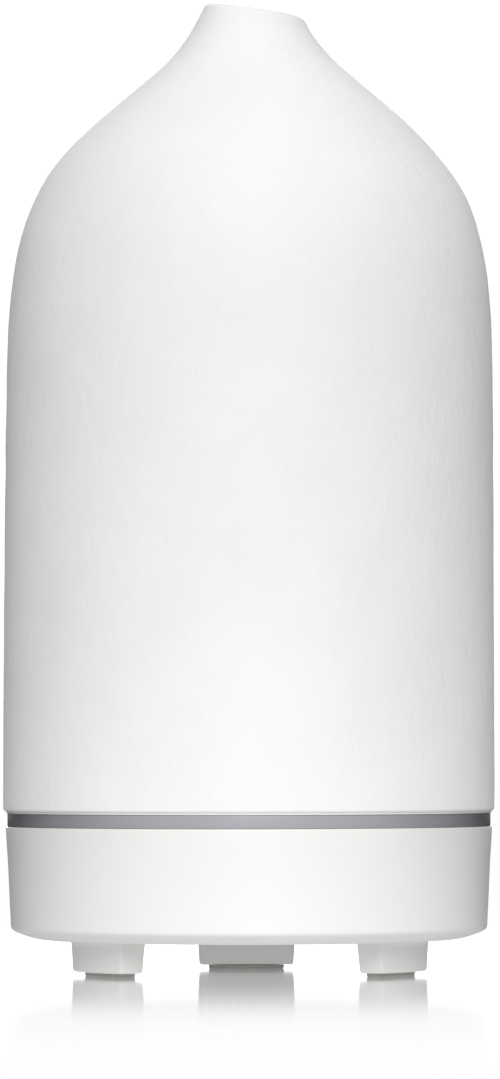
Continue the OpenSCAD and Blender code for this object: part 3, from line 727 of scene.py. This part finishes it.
def build_base():
    wall = [(33.5, 6.2), (36.5, 6.28), (38.2, 6.43), (39.5, 6.68), (40.58, 7.02), (41.5, 7.34), (42.3, 7.66),
            (42.9, 7.98), (43.22, 8.30), (43.36, 8.72), (43.39, 9.3), (43.44, 10.6), (43.55, 12.5), (43.66, 15.0),
            (43.77, 17.5), (43.87, 19.5), (43.96, 21.3), (44.07, 22.9), (44.17, 24.5), (44.24, 25.6)]
    outer = [tuple(p) for p in spline(wall, 2)]
    rim = fillet([(44.24, 25.6, 0), (44.29, 26.8, 0.18), (42.15, 26.8, 0.25), (42.1, 25.0, 0)], 5)[1:-1]
    inner = [(42.0, 24.5), (41.2, 9.4)] + fillet([(41.2, 9.4, 0), (41.2, 8.6, 0.6), (30.0, 8.6, 0)], 4)[1:-1] + [(20.0, 8.6), (0.0, 8.6)]
    outline = [(0.0, 6.2), (15.0, 6.2), (27.0, 6.2)] + outer + rim + inner
    shell = lathe("base_body", outline, "base", 320)
    cutters = []
    # inlet and button holes
    for ang_deg, rad in ((0, 4.2), (18, 3.8), (-18, 3.8)):
        c = tube_cutter(rad, 38.0, 48.0)
        c.matrix_world = (Matrix.Rotation(math.radians(ang_deg), 4, "Z") @ Matrix.Translation((0, 0, 17 * MM))
                          @ Matrix.Rotation(math.radians(-90), 4, "X"))
        cutters.append(c)
    # screw recesses
    for a in (30, 150, 232, 308):
        for rad, z1 in ((2.7, 9.0), (1.4, 14.0)):
            c = tube_cutter(rad, 4.0, z1, 32)
            c.matrix_world = Matrix.Translation((33.5 * MM * math.cos(math.radians(a)), 33.5 * MM * math.sin(math.radians(a)), 0))
            cutters.append(c)
    # air slots under the fan, each with round ends
    for i in range(-4, 5):
        half = math.sqrt(max(10.2 ** 2 - (i * 2.3) ** 2, 0)) - 0.6
        out = rounded_rect(1.3, 2 * half, (0.64,) * 4, 5)
        rings = [[(x + i * 2.3, y - 24.5, z) for x, y in out] for z in (5.0, 10.0)]
        cutters.append(loft("slot", rings, "base", 0))
    boolean(shell, cutters, 35.0)
    parts = [shell]
    # bosses inside, seen through the recesses
    for a in (30, 150, 232, 308):
        parts.append(lathe("boss", [(1.4, 9.0), (3.4, 8.0), (3.4, 12.4), (1.4, 12.4)], "base", 48,
                           (33.5 * math.cos(math.radians(a)), 33.5 * math.sin(math.radians(a)))))
    # feet: the outer face is an arc about the axis that runs up into the chamfer in a small fillet;
    # the other faces meet the underside square
    for a in (90, 210, 330):
        levels = [(0.7, 0.45), (0.77, 0.25), (0.9, 0.11), (1.08, 0.03), (1.3, 0.0)]
        levels += [(float(z), 0.0) for z in np.linspace(2.2, 5.0, 5)]
        levels += [(float(z), 0.0) for z in np.linspace(5.2, 6.6, 10)]
        rings = []
        for z, inset in levels:
            up = (z - 0.7) / 5.5
            half = 8.75 + 0.3 * up - inset
            v_in = 27.15 - 0.4 * up + inset
            r_arc = 33.2 + 0.2 * up - inset
            t = min(1.0, max(0.0, (z - 5.2) / 1.2))
            grow = 1.2 * (1 - math.sqrt(max(0.0, 1 - t * t)))
            us = np.linspace(half, -half, 23)
            arc = [(u, math.sqrt(r_arc ** 2 - u * u)) for u in us]
            poly = [(-half, v_in, 0.9), (half, v_in, 0.9), (half, arc[0][1], 1.15)]
            poly += [(u, v, 0) for u, v in arc[1:-1]] + [(-half, arc[-1][1], 1.15)]
            out = fillet(poly, 6)
            th = math.radians(a - 90)
            ring = []
            for x, y in out:
                y += grow * max(0.12, 1 - abs(x / 8.9) ** 3) * max(0.0, min(1.0, (y - 29.0) / 1.5))
                ring.append((x * math.cos(th) - y * math.sin(th), x * math.sin(th) + y * math.cos(th), z))
            rings.append(ring)
        parts.append(loft("foot", rings, "base", 40.0))
    return join("base_body", parts)


base = build_base()
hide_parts("base_shell")
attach(base, "base")

for nm, a in (("rear", 90), ("front_left", 210), ("front_right", 330)):
    th = math.radians(a - 90)
    rings = []
    for z, g in ((0.0, -0.22), (0.06, -0.08), (0.18, 0.0), (0.5, 0.0), (0.62, 0.0), (0.7, 0.0)):
        out = rounded_rect(14.0 + 2 * g, 4.0 + 2 * g, (1.92 + g,) * 4, 10)
        rings.append([(x * math.cos(th) - (y + 29.2) * math.sin(th), x * math.sin(th) + (y + 29.2) * math.cos(th), z) for x, y in out])
    pad = loft("pad_" + nm, rings, "pad", 50.0)
    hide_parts("foot_pad_" + nm)
    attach(pad, "base")


# ------------------------------------------------------------------ light ring

band = lathe("light_band", fillet([
    (40.8, 27.1, 0.1), (39.2, 27.1, 0.2), (39.2, 25.8, 0.2), (41.8, 25.8, 0.2), (41.8, 26.82, 0.05),
    (43.99, 26.82, 0.1), (44.0, 29.24, 0.1), (43.5, 29.24, 0.05), (43.4, 29.10, 0.03), (41.8, 29.10, 0.15), (41.8, 28.45, 0.1), (40.8, 28.45, 0.1)], 4), "smoke", 320)
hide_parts("light_ring")
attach(band, "base")


# ------------------------------------------------------------------ tank and its lid

def build_tank():
    body = lathe("water_bowl", fillet([
        (0, 30.0, 0), (38.1, 30.0, 0.3), (38.1, 28.5, 0.2), (41.4, 28.5, 0.2), (41.4, 29.1, 0.2), (40.3, 29.1, 0.3),
        (40.3, 33.0, 0.5), (38.5, 33.0, 0.5), (38.1, 32.0, 0.8), (33.0, 32.0, 1.2), (33.0, 78.0, 0.7), (31.0, 78.0, 0.7),
        (31.0, 34.5, 3.0), (28.5, 32.0, 3.0), (0, 32.0, 0)], 5), "tank", 224)
    cut = [tube_cutter(7.05, 29.0, 33.0, 48), tube_cutter(7.9, 29.0, 33.0, 64)]
    cut[0].matrix_world = Matrix.Translation((0, -22 * MM, 0))
    cut[1].matrix_world = Matrix.Translation((0, 6 * MM, 0))
    boolean(body, cut)
    parts = [body]
    parts.append(lathe("duct", fillet([(11.0, 18.9, 0.2), (12.1, 18.9, 0.2), (12.1, 30.1, 0), (11.0, 30.1, 0)], 3), "tank", 96, (0, -24.5)))
    parts.append(lathe("seat_wall", fillet([(11.6, 27.2, 0.2), (13.0, 27.2, 0.2), (13.0, 30.1, 0), (11.6, 30.1, 0)], 3), "tank", 96, (0, 6)))
    parts.append(lathe("well_lip", fillet([(7.85, 30.0, 0), (9.6, 31.9, 0), (9.2, 32.6, 0.3), (8.3, 32.6, 0.3)], 3), "tank", 96, (0, 6)))
    # fill line, a raised bead inside
    parts.append(lathe("fill_line", fillet([(31.05, 67.6, 0), (30.6, 68.0, 0.2), (31.05, 68.4, 0)], 3), "tank", 192))
    # four ribs on the outside of the bowl
    for a in (45, 135, 225, 315):
        th = math.radians(a)
        rings = []
        for z, w in ((31.9, 3.2), (36.0, 2.4), (44.0, 1.4), (50.0, 0.4)):
            out = rounded_rect(w, 1.4, (0.3 if w > 0.8 else 0.15,) * 4, 3)
            rings.append([((x + 32.8 + w / 2) * math.cos(th) - y * math.sin(th), (x + 32.8 + w / 2) * math.sin(th) + y * math.cos(th), z) for x, y in out])
        parts.append(loft("rib", rings, "tank", 40.0))
    for a in (30, 150, 232, 308):
        parts.append(lathe("boss", fillet([(1.2, 12.7, 0.1), (2.6, 12.7, 0.2), (2.6, 30.1, 0), (1.2, 30.1, 0)], 3), "tank", 32,
                           (33.5 * math.cos(math.radians(a)), 33.5 * math.sin(math.radians(a)))))
    for a in (90, 210, 330):
        parts.append(lathe("boss", fillet([(1.0, 27.2, 0.1), (2.6, 27.2, 0.2), (2.6, 30.1, 0), (1.0, 30.1, 0)], 3), "tank", 32,
                           (15.2 * math.cos(math.radians(a)), 6 + 15.2 * math.sin(math.radians(a)))))
    return join("tank_body", parts)


tank = build_tank()
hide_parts("water_tank")
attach(tank, "base")


chimney = lathe("chimney_tube", fillet([(5.5, 30.0, 0.2), (7.0, 30.0, 0.1), (7.0, 31.95, 0.05), (7.9, 32.0, 0.2), (7.0, 33.4, 0.8),
                                        (7.0, 80.0, 0.6), (5.5, 80.0, 0.6)], 5), "tank", 96, (0, -22))
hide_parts("air_chimney")
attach(chimney, "base")


def build_lid():
    outer = spline([(35.0, 82.0), (34.75, 84.2), (33.6, 86.9), (31.2, 90.2), (26.8, 94.4), (21.2, 98.4), (15.6, 102.4),
                    (11.9, 107.0), (9.9, 113.0), (9.2, 122.0), (9.0, 129.4)], 5)
    inner = spline([(7.6, 129.4), (7.8, 122.0), (8.4, 113.2), (10.4, 106.8), (14.4, 101.6), (20.2, 97.2), (25.8, 93.1),
                    (29.8, 89.2), (32.0, 86.0), (33.1, 83.0), (33.1, 81.0)], 4)
    lip = fillet([(9.0, 129.4, 0), (9.0, 130.0, 0.3), (7.6, 130.0, 0.3), (7.6, 129.4, 0)], 4)[1:-1]
    skirt = fillet([(33.1, 81.0, 0), (33.1, 80.5, 0.2), (31.5, 80.5, 0.3), (31.5, 78.3, 0.3), (33.35, 78.3, 0.2),
                    (33.35, 73.0, 0.4), (35.0, 73.0, 0.5), (35.0, 81.6, 0)], 4)[1:-1]
    outline = [tuple(p) for p in outer] + lip + [tuple(p) for p in inner] + skirt
    body = lathe("splash_lid", outline, "lid", 224)
    grips = []
    for k in range(36):
        th = 2 * math.pi * k / 36
        rings = []
        for z, g in ((73.8, 0.0), (74.4, 0.16), (80.4, 0.16), (81.2, 0.0)):
            out = [(34.9, -0.55), (34.98 + g, -0.32), (34.98 + g, 0.32), (34.9, 0.55)]
            rings.append([(x * math.cos(th) - y * math.sin(th), x * math.sin(th) + y * math.cos(th), z) for x, y in out])
        grips.append(loft("grip", rings, "lid", 40.0))
    return join("splash_lid", [body] + grips)


lid = build_lid()
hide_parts("inner_cover")
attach(lid, "lid")


# ------------------------------------------------------------------ inlet and buttons

def place_radial(ob, deg):
    """Turned shape along +Z becomes one along the radius at the rear, at the ports' height."""
    ob.matrix_world = (Matrix.Rotation(math.radians(deg), 4, "Z") @ Matrix.Translation((0, 0, 17 * MM))
                       @ Matrix.Rotation(math.radians(-90), 4, "X"))
    ob.data.transform(ob.matrix_world)
    ob.matrix_world = Matrix.Identity(4)
    return ob


def build_button(name, deg, mark):
    cap = lathe(name, fillet([(0, 40.0, 0), (4.5, 40.0, 0.2), (4.5, 40.95, 0.2), (3.5, 40.95, 0.15), (3.5, 44.6, 0.45),
                              (2.6, 44.6, 0.5), (1.6, 44.42, 0.6), (0, 44.36, 0)], 5), "button", 96)
    if mark == "dot":
        top = lathe("mark", fillet([(0, 44.2, 0), (0.42, 44.2, 0), (0.42, 44.54, 0.14), (0, 44.56, 0)], 4), "button", 32)
    else:
        rings = []
        for z, g in ((44.2, 0.0), (44.46, 0.0), (44.54, -0.08)):
            rings.append([(x, y, z) for x, y in rounded_rect(2.0 + 2 * g, 0.62 + 2 * g, (0.3 + g,) * 4, 5)])
        top = loft("mark", rings, "button", 50.0)
    return place_radial(join(name, [cap, top]), deg)


mist = build_button("mist_key_cap", 18, "bar")
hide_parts("mist_button")
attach(mist, "mist_key")
lamp = build_button("light_key_cap", -18, "dot")
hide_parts("light_button")
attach(lamp, "light_key")

nose = lathe("inlet_nose", fillet([(1.0, 34.0, 0), (1.0, 34.4, 0), (3.15, 34.4, 0.2), (3.15, 42.9, 0.1), (3.45, 43.3, 0.15),
                                   (4.0, 43.3, 0.3), (4.0, 38.0, 0), (4.0, 34.0, 0)], 4), "black", 96)
place_radial(nose, 0)
rings = []
for y, g in ((28.0, -0.3), (28.3, 0.0), (38.9, 0.0), (39.2, -0.3)):
    rings.append([(x, y, z + 17.0) for x, z in rounded_rect(9.0 + 2 * g, 10.0 + 2 * g, (0.6,) * 4, 4)])
case = loft("inlet_case", rings, "black", 40.0)
cut = tube_cutter(3.15, 34.4, 46.0, 64)
cut.matrix_world = Matrix.Translation((0, 0, 17 * MM)) @ Matrix.Rotation(math.radians(-90), 4, "X")
boolean(case, [cut])
inlet = join("power_inlet", [nose, case])
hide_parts("dc_jack")
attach(inlet, "base")

pin = lathe("inlet_pin", fillet([(0, 30.0, 0), (0.7, 30.0, 0), (0.7, 34.6, 0), (1.0, 34.62, 0.1), (1.0, 42.7, 0.55), (0, 42.7, 0)], 5), "steel", 48)
place_radial(pin, 0)
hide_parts("dc_jack_pin")
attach(pin, "base")


# ------------------------------------------------------------------ floor

def build_floor():
    half, n = 6.0, 24
    v = [(-half + 2 * half * i / n, -half + 2 * half * j / n, 0.0) for j in range(n + 1) for i in range(n + 1)]
    f = [(j * (n + 1) + i, j * (n + 1) + i + 1, (j + 1) * (n + 1) + i + 1, (j + 1) * (n + 1) + i) for j in range(n) for i in range(n)]
    me = bpy.data.meshes.new("studio_floor")
    me.from_pydata(v, [], f)
    ob = bpy.data.objects.new("studio_floor", me)
    scene.collection.objects.link(ob)
    m = bpy.data.materials.new("floor_white_acrylic")
    m.use_nodes = True
    t = m.node_tree
    t.nodes.clear()
    out = t.nodes.new("ShaderNodeOutputMaterial")
    tc = t.nodes.new("ShaderNodeTexCoord").outputs["Object"]
    dist = t.nodes.new("ShaderNodeVectorMath")
    dist.operation = "LENGTH"
    t.links.new(tc, dist.inputs[0])
    dist = dist.outputs["Value"]
    sep = t.nodes.new("ShaderNodeSeparateXYZ")
    t.links.new(tc, sep.inputs[0])

    def smooth(sock, a, b, c, d):
        q = t.nodes.new("ShaderNodeMapRange")
        q.interpolation_type = "SMOOTHSTEP"
        for k, val in zip(("From Min", "From Max", "To Min", "To Max"), (a, b, c, d)):
            q.inputs[k].default_value = val
        t.links.new(sock, q.inputs["Value"])
        return q.outputs[0]

    def times(a, b):
        q = t.nodes.new("ShaderNodeMath")
        q.operation = "MULTIPLY"
        t.links.new(a, q.inputs[0])
        t.links.new(b, q.inputs[1])
        return q.outputs[0]

    # what the floor sends to the object: bright in front, dark behind
    glow = t.nodes.new("ShaderNodeEmission")
    aside = t.nodes.new("ShaderNodeMath")
    aside.operation = "ABSOLUTE"
    t.links.new(sep.outputs[0], aside.inputs[0])
    t.links.new(times(times(smooth(dist, 0.10, 0.25, 0.76, 0.43), smooth(aside.outputs[0], 0.038, 0.105, 1.0, 0.2)),
                      smooth(sep.outputs[1], -0.1, 0.1, 1.0, 0.3)), glow.inputs["Strength"])
    paint = t.nodes.new("ShaderNodeBsdfDiffuse")
    t.links.new(ramp(t, noise(t, tc, 6.0, 2.0), [(0.3, (0.08, 0.08, 0.08)), (0.7, (0.09, 0.09, 0.09))]), paint.inputs["Color"])
    add = t.nodes.new("ShaderNodeAddShader")
    t.links.new(glow.outputs[0], add.inputs[0])
    t.links.new(paint.outputs[0], add.inputs[1])
    # what the camera sees: plain white, with a polish near the object that fades outwards
    white = t.nodes.new("ShaderNodeEmission")
    white.inputs["Strength"].default_value = 1.0
    gloss = t.nodes.new("ShaderNodeBsdfAnisotropic")
    gloss.distribution = "GGX"
    gloss.inputs["Color"].default_value = (1, 1, 1, 1)
    t.links.new(smooth(dist, 0.02, 0.30, 0.09, 0.11), gloss.inputs["Roughness"])
    seen = t.nodes.new("ShaderNodeMixShader")
    # the polish shows at a glance along the floor and fades when it is looked down on
    face = t.nodes.new("ShaderNodeLayerWeight")
    face.inputs["Blend"].default_value = 0.5
    graze = t.nodes.new("ShaderNodeMath")
    graze.operation = "POWER"
    graze.inputs[1].default_value = 3.0
    t.links.new(face.outputs["Facing"], graze.inputs[0])
    gain = t.nodes.new("ShaderNodeMath")
    gain.operation = "MULTIPLY"
    gain.inputs[1].default_value = 1.13
    gain.use_clamp = True
    t.links.new(graze.outputs[0], gain.inputs[0])
    span = t.nodes.new("ShaderNodeMath")
    span.operation = "DIVIDE"
    span.inputs[1].default_value = 0.36
    t.links.new(dist, span.inputs[0])
    polish = ramp(t, span.outputs[0], [(a / 0.36, (b, b, b)) for a, b in (
        (0.0, 0.93), (0.045, 0.92), (0.09, 0.78), (0.12, 0.65), (0.145, 0.53), (0.166, 0.41), (0.186, 0.31),
        (0.204, 0.23), (0.22, 0.18), (0.24, 0.14), (0.28, 0.07), (0.35, 0.0))])
    t.links.new(times(polish, gain.outputs[0]), seen.inputs[0])
    t.links.new(white.outputs[0], seen.inputs[1])
    t.links.new(gloss.outputs[0], seen.inputs[2])
    path = t.nodes.new("ShaderNodeLightPath")
    mix = t.nodes.new("ShaderNodeMixShader")
    t.links.new(path.outputs["Is Camera Ray"], mix.inputs[0])
    t.links.new(add.outputs[0], mix.inputs[1])
    t.links.new(seen.outputs[0], mix.inputs[2])
    t.links.new(mix.outputs[0], out.inputs["Surface"])
    me.materials.append(m)
    return ob


floor = build_floor()

# white cards all round that only the floor sees, so that its polish reflects white from every side
only_floor = bpy.data.collections.new("only_floor")
only_floor.objects.link(floor)
for az in (0, 60, 120, 180, 240, 300):
    card = area("card_%d" % az, polar(az, 0, 2.4)[:2] + (1.0,), polar(az, 0, 0.5)[:2] + (1.0,), 2.8, 2.0, 17.0)
    card.light_linking.receiver_collection = only_floor

bpy.context.view_layer.update()
